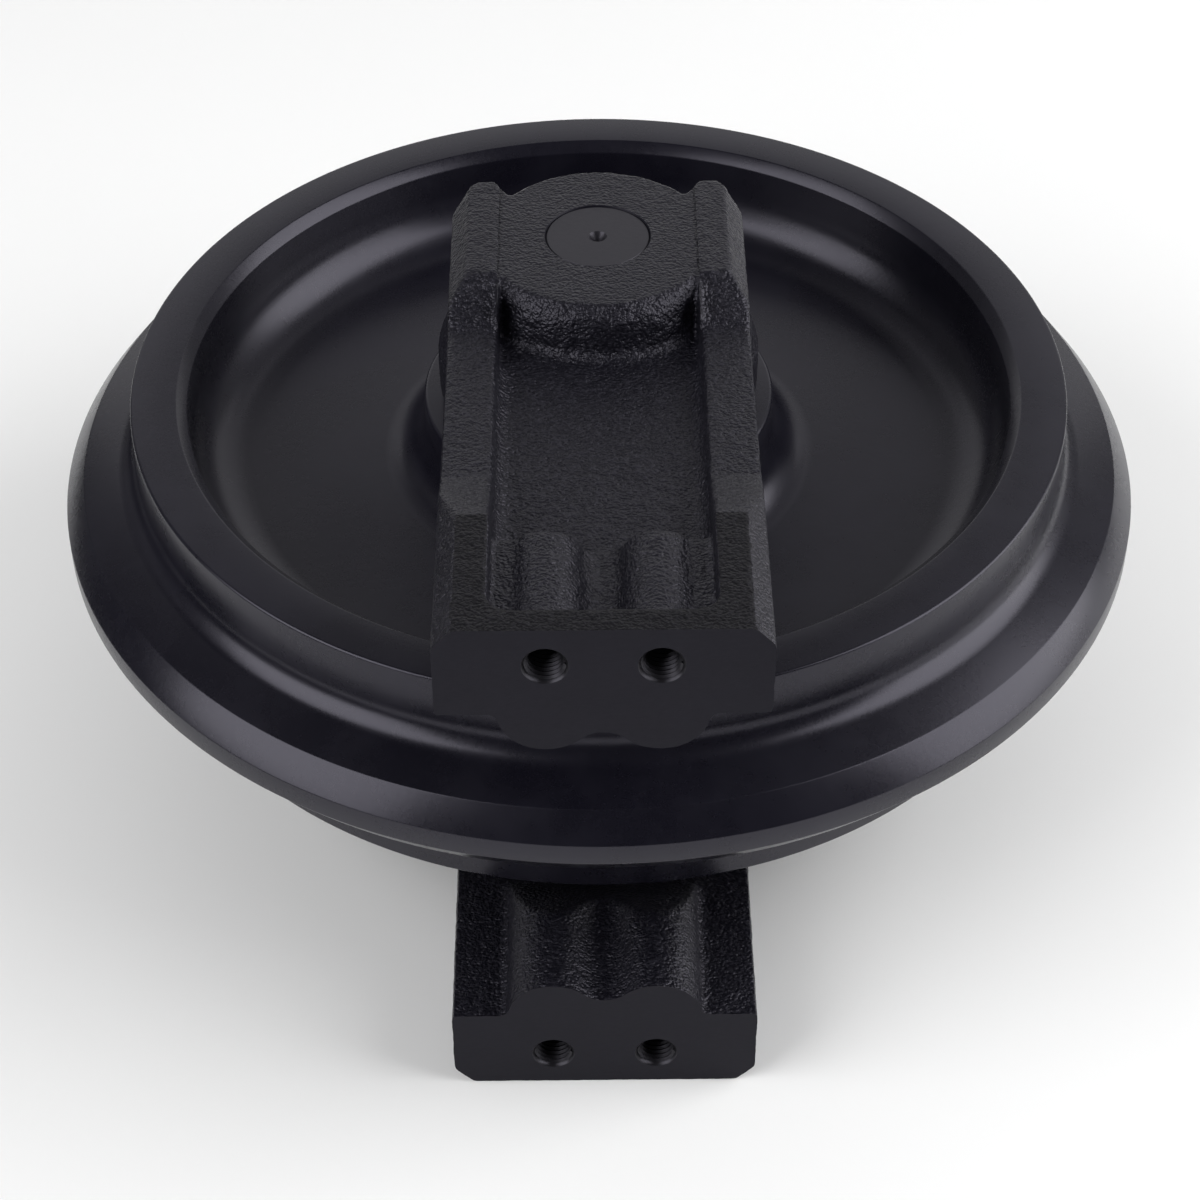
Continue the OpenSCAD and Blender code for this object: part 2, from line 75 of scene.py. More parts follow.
class Side(Enum):
    """The two sides of the wheel, with the sign of their height."""

    UPPER = 1
    LOWER = -1

    @property
    def word(self) -> str:
        """Word for the side in the names of pieces."""
        return self.name.lower()


class Body(Enum):
    """Bodies that pieces ride on."""

    AXLE = "axle"
    WHEEL = "wheel"


class Slot(Enum):
    """Names of two material slots: wheel paint and bracket paint."""

    WHEEL = "wheel_paint"
    BRACKET = "bracket_paint"


class Keep(Enum):
    """What a cut keeps of a piece: all outside its tool, or all inside it."""

    OUTSIDE = "DIFFERENCE"
    INSIDE = "INTERSECT"


class Value:
    """One output of a shader graph, for use in plain arithmetic."""

    def __init__(self, graph: "Graph", socket: Any) -> None:
        """Keeps the socket and the graph that it belongs to."""
        self.graph = graph
        self.socket = socket

    def math(self, operation: str, *others: Any) -> "Value":
        """Adds a Math node on this value.

        Args:
            operation: name of the Math node's operation.
            others: the node's further inputs, values or numbers.

        Returns:
            The node's result.
        """
        inputs = dict(enumerate((self, *others)))
        return self.graph.node("ShaderNodeMath", {"operation": operation}, inputs)

    def __add__(self, other: Any) -> "Value":
        """Sum."""
        return self.math("ADD", other)

    def __radd__(self, other: Any) -> "Value":
        """Sum with a number on the left."""
        return self.math("ADD", other)

    def __mul__(self, other: Any) -> "Value":
        """Product."""
        return self.math("MULTIPLY", other)

    def __rmul__(self, other: Any) -> "Value":
        """Product with a number on the left."""
        return self.math("MULTIPLY", other)

    def __sub__(self, other: Any) -> "Value":
        """Difference."""
        return self.math("SUBTRACT", other)

    def __rsub__(self, other: Any) -> "Value":
        """Difference from a number on the left."""
        return self.math("MULTIPLY", -1.0).math("ADD", other)

    def root(self) -> "Value":
        """Square root."""
        return self.math("SQRT")

    def between(self, low: float, high: float) -> "Value":
        """Smooth step from 0 at low to 1 at high."""
        settings = {"interpolation_type": "SMOOTHSTEP"}
        inputs = {"Value": self, "From Min": low, "From Max": high}
        return self.graph.node("ShaderNodeMapRange", settings, inputs)


class Graph:
    """Node tree of one material."""

    def __init__(self, name: str) -> None:
        """Starts an empty material of that name."""
        self.material = bpy.data.materials.new(name)
        self.material.use_nodes = True
        self.tree = self.material.node_tree
        self.tree.nodes.clear()

    def node(
        self,
        kind: str,
        settings: dict[str, Any] | None = None,
        inputs: dict[Any, Any] | None = None,
        output: str | int = 0,
    ) -> Value:
        """Adds one node.

        Args:
            kind: the node's type.
            settings: attributes of the node, set before its sockets.
            inputs: values or links of its sockets, by name or place.
            output: the output that is handed back.

        Returns:
            The chosen output.
        """
        node = self.tree.nodes.new(kind)
        for key, value in (settings or {}).items():
            setattr(node, key, value)
        for key, value in (inputs or {}).items():
            if isinstance(value, Value):
                self.tree.links.new(value.socket, node.inputs[key])
            else:
                node.inputs[key].default_value = value
        return Value(self, node.outputs[output]) if node.outputs else Value(self, None)

    def place(self) -> Value:
        """Object coordinates, in metres."""
        return self.node("ShaderNodeTexCoord", output="Object")

    def part(self, where: Value, axis: str) -> Value:
        """One coordinate of a place."""
        return self.node("ShaderNodeSeparateXYZ", inputs={"Vector": where}, output=axis)

    def noise(self, where: Value, size: float, detail: float = 2.0, rough: float = 0.5) -> Value:
        """Noise from 0 to 1.

        Args:
            where: the place that the noise is read at.
            size: size of its lumps, in metres.
            detail: how many finer layers it has.
            rough: how strong the finer layers are.

        Returns:
            The noise.
        """
        inputs = {"Vector": where, "Scale": 1.0 / size, "Detail": detail, "Roughness": rough}
        return self.node("ShaderNodeTexNoise", {"noise_dimensions": "3D"}, inputs, "Fac")

    def cells(self, where: Value, size: float) -> Value:
        """Distance to scattered points about size metres apart, as a share of that size."""
        return self.node("ShaderNodeTexVoronoi", {}, {"Vector": where, "Scale": 1.0 / size}, "Distance")

    def stretched(self, where: Value, scale: Colour) -> Value:
        """Place with each coordinate multiplied."""
        return self.node("ShaderNodeVectorMath", {"operation": "MULTIPLY"}, {0: where, 1: scale})

    def turned(self, where: Value) -> Value:
        """Place that holds only the distance from the axle and the height along it."""
        x, y = self.part(where, "X"), self.part(where, "Y")
        inputs = {"X": (x * x + y * y).root(), "Z": self.part(where, "Z")}
        return self.node("ShaderNodeCombineXYZ", inputs=inputs)

    def blend(self, share: Value, low: Colour, high: Colour) -> Value:
        """Colour between two colours."""
        inputs = {0: share, 6: (*low, 1.0), 7: (*high, 1.0)}
        return self.node("ShaderNodeMix", {"data_type": "RGBA"}, inputs, 2)

    def bump(self, height: Value, depth: float, under: Value | None = None) -> Value:
        """Normal of a surface with bumps.

        Args:
            height: the bumps, from 0 to 1.
            depth: their depth in metres.
            under: normal of coarser bumps that these lie on.

        Returns:
            The normal.
        """
        inputs: dict[Any, Any] = {"Height": height, "Distance": depth, "Strength": 1.0}
        if under is not None:
            inputs["Normal"] = under
        return self.node("ShaderNodeBump", inputs=inputs)

    def surface(self, inputs: dict[str, Any]) -> bpy.types.Material:
        """Ends the graph in one shader.

        Args:
            inputs: values and links of the shader's sockets.

        Returns:
            The finished material.
        """
        shader = self.node("ShaderNodeBsdfPrincipled", inputs=inputs)
        self.node("ShaderNodeOutputMaterial", inputs={"Surface": shader})
        return self.material


@dataclass(frozen=True)
class TurnedPaint:
    """Satin black paint over turned steel, with faint tool rings under it."""

    name: str = "turned_paint"
    colour: Colour = (0.0044, 0.0041, 0.0075)
    hazy: Colour = (0.0075, 0.0071, 0.0115)
    roughness: float = 0.27

    def material(self) -> bpy.types.Material:
        """Builds the material."""
        graph = Graph(self.name)
        where = graph.place()
        rings = graph.noise(graph.turned(where), 1.3 * MM, 2.0)
        peel = graph.noise(where, 2.2 * MM, 1.0)
        haze = graph.noise(where, 38.0 * MM, 4.0, 0.6)
        specks = 1 - graph.noise(where, 4.5 * MM, 3.0).between(0.30, 0.42)
        normal = graph.bump(peel, 0.018 * MM, graph.bump(rings, 0.012 * MM))
        return graph.surface(
            {
                "Base Color": graph.blend(haze.between(0.35, 0.70) + specks * 0.35, self.colour, self.hazy),
                "Roughness": haze * 0.10 + peel * 0.04 + self.roughness - 0.06,
                "IOR": 1.45,
                "Specular Tint": PAINT_SHEEN,
                "Normal": normal,
            }
        )


@dataclass(frozen=True)
class CastPaint:
    """Black paint over sand casting: coarse grain and small pits, with a painted highlight on the grain's
    tips and painted shade in its pits.

    Attributes:
        name: the material's name.
        colour: its darkest colour.
        tip_highlight: its lighter colour on the grain's tips, a painted highlight.
        roughness: its mean roughness.
        ior: its index of refraction, which sets how much it reflects.
    """

    name: str = "cast_paint"
    colour: Colour = (0.0038, 0.0036, 0.0060)
    tip_highlight: Colour = (0.0126, 0.0121, 0.0170)
    roughness: float = 0.36
    ior: float = 1.43

    def material(self) -> bpy.types.Material:
        """Builds the material."""
        graph = Graph(self.name)
        where = graph.place()
        along = graph.stretched(where, (0.85, 1.0, 1.0))
        sand = graph.noise(along, 1.15 * MM, 1.0, 0.5)
        lumps = graph.noise(along, 3.2 * MM, 2.0)
        pits = graph.cells(where, 2.3 * MM).between(0.05, 0.40)
        patches = graph.noise(where, 24.0 * MM, 3.0)
        coarse = graph.bump(lumps, 0.60 * MM)
        normal = graph.bump(sand * 0.80 + pits * 0.20, 0.92 * MM, coarse)
        return graph.surface(
            {
                # Base colour follows the grain: painted highlight, lighter on the tips, and painted shade,
                # darkest in the pits.
                "Base Color": graph.blend(sand.between(0.42, 0.70) * pits, self.colour, self.tip_highlight),
                "Roughness": patches * 0.14 + sand * 0.12 + self.roughness - 0.10,
                "IOR": self.ior,
                "Specular Tint": PAINT_SHEEN,
                "Normal": normal,
            }
        )


@dataclass(frozen=True)
class MachinedPaint:
    """Black paint over a milled, drilled or ground face.

    Attributes:
        name: the material's name.
        colour: its darkest colour.
        hazy: its lightest colour.
        roughness: its mean roughness.
        ior: its index of refraction, which sets how much it reflects.
        stroke: depth of the tool strokes across the face, in millimetres.
    """

    name: str = "machined_paint"
    colour: Colour = (0.0048, 0.0045, 0.0076)
    hazy: Colour = (0.0075, 0.0071, 0.0110)
    roughness: float = 0.42
    ior: float = 1.25
    stroke: float = 0.012

    def material(self) -> bpy.types.Material:
        """Builds the material."""
        graph = Graph(self.name)
        where = graph.place()
        strokes = graph.noise(graph.stretched(where, (0.30, 1.0, 1.0)), 0.8 * MM, 3.0, 0.6)
        peel = graph.noise(where, 1.9 * MM, 2.0)
        haze = graph.noise(where, 15.0 * MM, 3.0)
        tone = haze.between(0.30, 0.75) * 0.45 + strokes.between(0.35, 0.65) * 0.55
        normal = graph.bump(peel, 0.03 * MM, graph.bump(strokes, self.stroke * MM))
        return graph.surface(
            {
                "Base Color": graph.blend(tone, self.colour, self.hazy),
                "Roughness": haze * 0.12 + peel * 0.05 + self.roughness - 0.08,
                "IOR": self.ior,
                "Specular Tint": PAINT_SHEEN,
                "Normal": normal,
            }
        )


# Near-black, glossier paint for the bolt holes and their threads: painted shade of the deep holes over a
# drilled finish.
DRILLED_SHADED = MachinedPaint("drilled_shaded_paint", (0.0020, 0.0019, 0.0023), (0.0052, 0.0050, 0.0061), 0.38, 1.45)
# Duller, darker copy for the front pads; its second colour is the painted highlight on the grain's tips.
DULLED = CastPaint("dulled_cast_paint", (0.0032, 0.0031, 0.0037), (0.0090, 0.0087, 0.0105), 0.44, 1.30)


@dataclass(frozen=True)
class TurnedMetal:
    """Bare metal with turning rings round the axle and a little tarnish."""

    name: str
    colour: Colour
    tarnish: Colour
    roughness: float = 0.30

    def material(self) -> bpy.types.Material:
        """Builds the material."""
        graph = Graph(self.name)
        where = graph.place()
        rings = graph.noise(graph.turned(where), 0.7 * MM, 3.0)
        stain = graph.noise(where, 9.0 * MM, 4.0, 0.6)
        return graph.surface(
            {
                "Base Color": graph.blend(stain.between(0.42, 0.75), self.colour, self.tarnish),
                "Roughness": stain * 0.20 + rings * 0.08 + self.roughness - 0.12,
                "Metallic": 1.0,
                "Normal": graph.bump(rings, 0.02 * MM),
            }
        )


@dataclass(frozen=True)
class Rubber:
    """Matt black rubber with a faint grain."""

    name: str = "seal_rubber"
    colour: Colour = (0.012, 0.012, 0.012)
    bloom: Colour = (0.030, 0.030, 0.030)

    def material(self) -> bpy.types.Material:
        """Builds the material."""
        graph = Graph(self.name)
        where = graph.place()
        bloom = graph.noise(where, 6.0 * MM, 3.0)
        grain = graph.noise(where, 0.5 * MM, 1.0)
        return graph.surface(
            {
                "Base Color": graph.blend(bloom.between(0.45, 0.80), self.colour, self.bloom),
                "Roughness": bloom * 0.15 + 0.55,
                "Normal": graph.bump(grain, 0.03 * MM),
            }
        )


@dataclass(frozen=True)
class StudioPaper:
    """White paper of the studio floor, with a barely visible tooth."""

    name: str = "studio_paper"
    colour: Colour = (0.88, 0.88, 0.88)
    shade: Colour = (0.86, 0.86, 0.86)

    def material(self) -> bpy.types.Material:
        """Builds the material."""
        graph = Graph(self.name)
        cloud = graph.noise(graph.place(), 0.35, 3.0)
        return graph.surface(
            {
                "Base Color": graph.blend(cloud, self.colour, self.shade),
                "Roughness": cloud * 0.1 + 0.80,
                "Specular IOR Level": 0.1,
            }
        )


@dataclass(frozen=True)
class Corner:
    """Corner of a turned outline, in millimetres, with the radius that rounds it."""

    r: float
    z: float
    round: float = 0.0

    def mirrored(self) -> "Corner":
        """Same corner on the other side of the wheel's middle."""
        return Corner(self.r, -self.z, self.round)


class Workbench:
    """Modelling steps that the pieces share."""

    @staticmethod
    def clear() -> None:
        """Deselects everything."""
        bpy.ops.object.select_all(action="DESELECT")

    @classmethod
    def hold(cls, piece: bpy.types.Object) -> None:
        """Makes one piece the only selected and active one."""
        cls.clear()
        piece.select_set(True)
        bpy.context.view_layer.objects.active = piece

    @classmethod
    @contextmanager
    def editing(
        cls, piece: bpy.types.Object, picked: Callable[[Vector], bool] | None = None
    ) -> Iterator[None]:
        """Edits a piece's mesh with the picked points selected.

        Args:
            piece: the piece.
            picked: test of a point's place; all points without it.

        Yields:
            Nothing; edit mode ends with the block.
        """
        cls.hold(piece)
        mesh = piece.data
        mesh.polygons.foreach_set("select", [False] * len(mesh.polygons))
        mesh.edges.foreach_set("select", [False] * len(mesh.edges))
        flags = [picked is None or picked(vertex.co) for vertex in mesh.vertices]
        mesh.vertices.foreach_set("select", flags)
        bpy.ops.object.mode_set(mode="EDIT")
        bpy.ops.mesh.select_mode(type="VERT")
        yield
        bpy.ops.object.mode_set(mode="OBJECT")

    @classmethod
    def weld(cls, piece: bpy.types.Object) -> None:
        """Merges doubled points and turns all faces outwards."""
        with cls.editing(piece):
            bpy.ops.mesh.select_all(action="SELECT")
            bpy.ops.mesh.remove_doubles(threshold=WELD_GAP)
            bpy.ops.mesh.normals_make_consistent(inside=False)

    @classmethod
    def copy_node(cls, node: str, name: str) -> bpy.types.Object:
        """Copies a CAD node as a merged mesh.

        Args:
            node: the node's name.
            name: name of the copy.

        Returns:
            The copy, with no material.
        """
        cls.hold(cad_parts[node])
        bpy.ops.object.duplicate(linked=False)
        piece = bpy.context.active_object
        piece.name = piece.data.name = name
        piece.data.materials.clear()
        cls.weld(piece)
        return piece

    @classmethod
    def line(cls, name: str, points: Sequence[Point]) -> bpy.types.Object:
        """Draws a line of points in the plane of x and z by extruding one point.

        Args:
            name: name of the new piece.
            points: the points, in metres.

        Returns:
            The piece, a chain of edges.
        """
        cls.clear()
        bpy.ops.mesh.primitive_plane_add(size=1.0)
        piece = bpy.context.active_object
        piece.name = piece.data.name = name
        with cls.editing(piece):
            bpy.ops.mesh.merge(type="CENTER")
            bpy.ops.transform.translate(value=(points[0][0], 0.0, points[0][1]))
            for (x0, z0), (x1, z1) in zip(points, points[1:]):
                step = {"value": (x1 - x0, 0.0, z1 - z0)}
                bpy.ops.mesh.extrude_region_move(TRANSFORM_OT_translate=step)
        return piece

    @classmethod
    def lathe(cls, name: str, corners: Sequence[Corner], steps: int) -> bpy.types.Object:
        """Turns an outline round the axle.

        Args:
            name: name of the new piece.
            corners: the outline; it closes by itself unless it starts and ends on the axle.
            steps: how many steps the turn has.

        Returns:
            The turned piece, closed.
        """
        points = rounded(corners)
        if corners[0].r > 0.0 or corners[-1].r > 0.0:
            points.append(points[0])
        piece = cls.line(name, points)
        with cls.editing(piece):
            bpy.ops.mesh.spin(steps=steps, angle=2.0 * math.pi, center=(0, 0, 0), axis=(0, 0, 1))
        cls.weld(piece)
        return piece

    @classmethod
    def block(cls, name: str, low: Colour, high: Colour) -> bpy.types.Object:
        """Makes a block between two opposite corners, in millimetres, as stock for a cut."""
        cls.clear()
        bpy.ops.mesh.primitive_cube_add(size=1.0)
        piece = bpy.context.active_object
        piece.name = piece.data.name = name
        middle = Matrix.Translation([(a + b) / 2.0 * MM for a, b in zip(low, high)])
        cls.move(piece, middle @ Matrix.Diagonal([*((b - a) * MM for a, b in zip(low, high)), 1.0]))
        return piece

    @classmethod
    def move(cls, piece: bpy.types.Object, place: Matrix) -> None:
        """Moves a piece's mesh and leaves its object at the origin."""
        piece.matrix_world = place
        cls.hold(piece)
        bpy.ops.object.transform_apply(location=True, rotation=True, scale=True)

    @classmethod
    def modify(cls, piece: bpy.types.Object, kind: str, settings: dict[str, Any]) -> None:
        """Adds a modifier of that kind with the settings and applies it."""
        modifier = piece.modifiers.new(kind.lower(), kind)
        for key, value in settings.items():
            setattr(modifier, key, value)
        cls.hold(piece)
        bpy.ops.object.modifier_apply(modifier=modifier.name)

    @classmethod
    def cut(cls, piece: bpy.types.Object, tool: bpy.types.Object, keep: Keep = Keep.OUTSIDE) -> None:
        """Cuts a piece with a tool's shape and puts the tool away."""
        settings = {"object": tool, "operation": keep.value, "solver": "MANIFOLD"}
        cls.modify(piece, "BOOLEAN", settings)
        bpy.data.objects.remove(tool)

    @classmethod
    def join(cls, piece: bpy.types.Object, others: Sequence[bpy.types.Object]) -> None:
        """Joins other pieces' meshes into a piece."""
        cls.hold(piece)
        for other in others:
            other.select_set(True)
        bpy.ops.object.join()

    @classmethod
    def smooth(cls, piece: bpy.types.Object, degrees: float) -> None:
        """Shades a piece smooth, with edges sharper than the angle left crisp."""
        cls.hold(piece)
        bpy.ops.object.shade_smooth_by_angle(angle=math.radians(degrees))


def rounded(corners: Sequence[Corner]) -> list[Point]:
    """Turns an outline's corners into points, with arcs at the rounded ones.

    Args:
        corners: the outline, in millimetres.

    Returns:
        Its points, in metres.
    """
    points: list[Point] = []
    for i, corner in enumerate(corners):
        here = Vector((corner.r, corner.z))
        if corner.round <= 0.0:
            points.append((here.x * MM, here.y * MM))
            continue
        before, after = corners[i - 1], corners[(i + 1) % len(corners)]
        back = (Vector((before.r, before.z)) - here).normalized()
        ahead = (Vector((after.r, after.z)) - here).normalized()
        half = back.angle(ahead) / 2.0
        centre = here + (back + ahead).normalized() * (corner.round / math.sin(half))
        start = here + back * (corner.round / math.tan(half)) - centre
        sweep = math.pi - 2.0 * half
        turn = math.copysign(sweep, start.x * (here - centre).y - start.y * (here - centre).x)
        arc_step = LARGE_ARC_STEP if corner.round > SMALL_ROUND else SMALL_ARC_STEP
        count = max(2, math.ceil(math.degrees(sweep) / arc_step))
        for step in range(count + 1):
            angle = turn * step / count
            cos, sin = math.cos(angle), math.sin(angle)
            place = centre + Vector((start.x * cos - start.y * sin, start.x * sin + start.y * cos))
            points.append((place.x * MM, place.y * MM))
    return points


def share(length: float, span: float) -> float:
    """Share of a span that a length covers, from 0 to 1."""
    return min(1.0, max(0.0, length / span))


def paint(piece: bpy.types.Object, *materials: bpy.types.Material) -> None:
    """Gives a piece its materials, in place of any that it has."""
    piece.data.materials.clear()
    for material in materials:
        piece.data.materials.append(material)


@dataclass
class IdlerWheel:
    """Turned wheel with two treads, a guide flange between them, a web and a hub, in millimetres."""

    tread_r: float = 185.0
    rim_z: float = 49.0
    rim_r: float = 167.0
    recess_r: float = 163.0
    recess_z: float = 45.0
    recess_foot_r: float = 161.0
    web_z: float = 12.0
    web_fillet: float = 23.0
    hub_r: float = 69.5
    hub_z: float = 42.0
    hub_fillet: float = 18.0
    seal_bore_r: float = 36.86
    seal_floor_z: float = 30.0
    bore_r: float = 25.07
    chamber_r: float = 28.07
    chamber_z: float = 8.0
    flange_r: float = 215.0
    land_z: float = 4.5
    shoulder_r: float = 207.0
    shoulder_z: float = 15.0
    foot_z: float = 21.73
    tread_fillet: float = 11.0
    bore_round: float = 0.6
    hub_round: float = 1.6
    recess_round: float = 1.2
    rim_round: float = 0.8
    tread_round: float = 1.1
    shoulder_round: float = 1.0
    land_round: float = 0.9
    crisp: float = 30.0
    steps: int = 300

    def outline(self) -> list[Corner]:
        """Closed outline of the wheel, from the hub's upper end outwards and down."""
        upper = [
            Corner(self.chamber_r, self.chamber_z),
            Corner(self.bore_r, self.chamber_z),
            Corner(self.bore_r, self.seal_floor_z),
            Corner(self.seal_bore_r, self.seal_floor_z),
            Corner(self.seal_bore_r, self.hub_z, self.bore_round),
            Corner(self.hub_r, self.hub_z, self.hub_round),
            Corner(self.hub_r, self.web_z, self.hub_fillet),
            Corner(self.recess_foot_r, self.web_z, self.web_fillet),
            Corner(self.recess_r, self.recess_z, self.recess_round),
            Corner(self.rim_r, self.rim_z, self.rim_round),
            Corner(self.tread_r, self.rim_z, self.tread_round),
            Corner(self.tread_r, self.foot_z, self.tread_fillet),
            Corner(self.shoulder_r, self.shoulder_z, self.shoulder_round),
            Corner(self.flange_r, self.land_z, self.land_round),
        ]
        return upper + [corner.mirrored() for corner in reversed(upper)]

    def build(self) -> bpy.types.Object:
        """Turns the wheel."""
        wheel = Workbench.lathe("wheel_body", self.outline(), self.steps)
        Workbench.smooth(wheel, self.crisp)
        return wheel

    def dress(self, wheel: bpy.types.Object) -> None:
        """Paints the wheel and puts it in place of its CAD node."""
        paint(wheel, TurnedPaint().material())
        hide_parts("idler_wheel")
        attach(wheel, Body.WHEEL.value)


@dataclass(frozen=True)
class Grain:
    """Sand grain of a casting: its size and depth in millimetres, and the vertex group that limits it."""

    size: float
    depth: float
    group: str = ""


GRAINS = (
    Grain(9.0, 0.30),
    Grain(3.0, 0.40),
    Grain(4.0, 0.40, "pocket"),
    Grain(4.2, 0.60, "apron"),
    Grain(2.2, 0.70, "apron"),
)


@dataclass
class GuideBracket:
    """Cast guide bracket: a rough casting whose bolted face, holes, bore and seal seat are machined.

    Its sizes are in millimetres and given for the upper side.
    """

    side: Side
    reach: float = 223.0
    out_z: float = 116.0
    boss_z: float = 115.2
    boss_r: float = 43.5
    pad_y: float = -164.5
    pad_depth: float = 1.2
    pad_level: float = 0.8
    floor_z: float = 95.0
    pocket_x: float = 38.0
    pocket_front_y: float = -213.0
    pocket_back_y: float = -40.0
    pocket_edge: float = 1.0
    pocket_under: float = 2.0
    apron_in_r: float = 43.0
    apron_in_fade: float = 3.0
    apron_out_r: float = 61.0
    apron_out_fade: float = 5.0
    apron_back_y: float = -18.0
    apron_under: float = 3.0
    apron_over: float = 0.5
    apron_end_fade: float = 2.0
    bolt_x: float = 19.25
    bolt_z: float = 100.0
    bolt_r: float = 7.0
    bolt_bevel: float = 1.0
    bolt_depth: float = 45.0
    bolt_tip: float = 49.2
    thread_pitch: float = 2.0
    thread_turns: int = 20
    thread_steps: int = 30
    thread_start: float = 0.6
    thread_depth: float = 0.85
    thread_root: float = 0.06
    thread_crest: float = 0.1
    thread_foot: float = 0.44
    bore_r: float = 20.02
    bore_bevel: float = 0.6
    nose_r: float = 26.02
    nose_z: float = 33.4
    housing_r: float = 63.0
    housing_z: float = 46.0
    seal_bore_r: float = 36.86
    seal_floor_z: float = 54.0
    pin_x: float = 20.0
    pin_z: float = 90.0
    pin_r: float = 5.3
    pin_foot_y: float = -25.0
    pin_len: float = 90.0
    lip_r: float = 49.7
    lip_over: float = 4.2
    lip_break: float = 9.4
    lip_lean: float = 2.3
    lip_round: float = 3.0
    lip_foot: float = 0.2
    lip_foot_round: float = 4.0
    lip_reach: float = 18.0
    lip_x: float = 37.6
    lip_front_y: float = -80.0
    lip_back_y: float = -14.0
    stock_under: float = 5.0
    stock_over: float = 10.0
    allowance: float = 6.0
    skim: float = 0.25
    skim_slack: float = 0.02
    skim_front_y: float = -95.0
    skim_past: float = 5.0
    skim_over: float = 12.0
    face_near: float = 0.3
    face_slack: float = 0.4
    slack: float = 0.1
    overshoot: float = 2.0
    bore_under: float = 3.0
    seat_under: float = 8.0
    seat_past: float = 6.0
    plug_wall: float = 1.6
    plug_short: float = 0.7
    core_wall: float = 3.0
    voxel: float = 1.3
    soften: float = 0.5
    soften_times: int = 3
    apron_soften_times: int = 4
    crisp: float = 50.0
    thread_crisp: float = 40.0

    def height(self, z: float) -> float:
        """Height of a place given for the upper bracket, on this bracket's side."""
        return z * self.side.value

    def upright(self) -> Matrix:
        """Turn that brings a shape drawn for the upper side to this side."""
        return Matrix.Identity(4) if self.side is Side.UPPER else Matrix.Rotation(math.pi, 4, "X")

    def along_bolt(self, x: float) -> Matrix:
        """Place of a shape whose axis is +Z, set into the bolted face at a bolt."""
        place = Matrix.Translation((x * MM, -self.reach * MM, self.height(self.bolt_z) * MM))
        return place @ Matrix.Rotation(-math.pi / 2.0, 4, "X")

    @staticmethod
    def rod(
        name: str, corners: Sequence[Corner], place: Matrix, steps: int = COARSE_TURN
    ) -> bpy.types.Object:
        """Turned shape moved to a place, for filling or cutting.

        Args:
            name: name of the new piece.
            corners: its outline.
            place: where it goes.
            steps: how many steps the turn has.

        Returns:
            The piece.
        """
        tool = Workbench.lathe(name, corners, steps)
        Workbench.move(tool, place)
        Workbench.weld(tool)
        return tool

    def fillers(self) -> list[bpy.types.Object]:
        """Plugs that close the drilled holes, as the raw casting has none."""
        plug_r, plug_end = self.bolt_r + self.plug_wall, self.bolt_tip - self.plug_short
        core_r = self.bore_r + self.core_wall
        bolt = [
            Corner(0.0, -self.allowance),
            Corner(plug_r, -self.allowance),
            Corner(plug_r, plug_end),
            Corner(0.0, plug_end),
        ]
        core = [
            Corner(0.0, self.nose_z),
            Corner(core_r, self.nose_z),
            Corner(core_r, self.boss_z),
            Corner(0.0, self.boss_z),
        ]
        plugs = [self.rod("bolt_plug", bolt, self.along_bolt(x)) for x in (-self.bolt_x, self.bolt_x)]
        return plugs + [self.rod("core_plug", core, self.upright())]

    def slab(self, name: str, near: Point, far: Point, heights: Point) -> bpy.types.Object:
        """Block between two corners given by x and y, and two heights on this bracket's side."""
        low, high = sorted(self.height(z) for z in heights)
        return Workbench.block(name, (*near, low), (*far, high))

    def lip_cutter(self) -> bpy.types.Object:
        """Cutter that breaks the boss's edge above the pocket and steepens the slope below it."""
        reach, top = self.lip_r + self.lip_reach, self.boss_z + self.lip_over
        foot = self.floor_z + self.lip_foot
        profile = [
            Corner(self.lip_r - self.lip_break, top),
            Corner(self.lip_r, top - self.lip_break, self.lip_round),
            Corner(self.lip_r + self.lip_lean, foot, self.lip_foot_round),
            Corner(reach, foot),
            Corner(reach, top),
        ]
        ring = self.rod("lip_cutter", profile, self.upright(), FINE_TURN)
        near, far = (-self.lip_x, self.lip_front_y), (self.lip_x, self.lip_back_y)
        heights = (self.floor_z - self.stock_under, self.out_z + self.stock_over)
        stock = self.slab("lip_stock", near, far, heights)
        Workbench.cut(ring, stock, Keep.INSIDE)
        return ring

    def is_apron(self, point: Vector) -> float:
        """How far a place, in metres, lies on the rough slope between boss and pocket floor, 0 to 1."""
        x, y, z = point.x / MM, point.y / MM, self.height(point.z / MM)
        if abs(x) > self.pocket_x + self.pocket_edge or y > self.apron_back_y:
            return 0.0
        radius = math.hypot(x, y)
        inner = share(radius - self.apron_in_r, self.apron_in_fade)
        outer = share(self.apron_out_r - radius, self.apron_out_fade)
        low = share(z - self.floor_z + self.apron_under, self.apron_end_fade)
        return inner * outer * low * share(self.out_z - z + self.apron_over, self.apron_end_fade)

    def is_pocket(self, point: Vector) -> float:
        """1 inside the pocket between the rails and 0 elsewhere, for a place in metres."""
        x, y, z = point.x / MM, point.y / MM, self.height(point.z / MM)
        if abs(x) >= self.pocket_x + self.pocket_edge or not self.pocket_front_y < y < self.pocket_back_y:
            return 0.0
        return 1.0 if self.floor_z - self.pocket_under < z < self.out_z - self.pocket_edge else 0.0

    @staticmethod
    def weigh(piece: bpy.types.Object, name: str, weight: Callable[[Vector], float]) -> None:
        """Gives a piece a vertex group with a weight for each place."""
        group = piece.vertex_groups.new(name=name)
        for vertex in piece.data.vertices:
            amount = weight(vertex.co)
            if amount > 0.0:
                group.add([vertex.index], amount, "REPLACE")

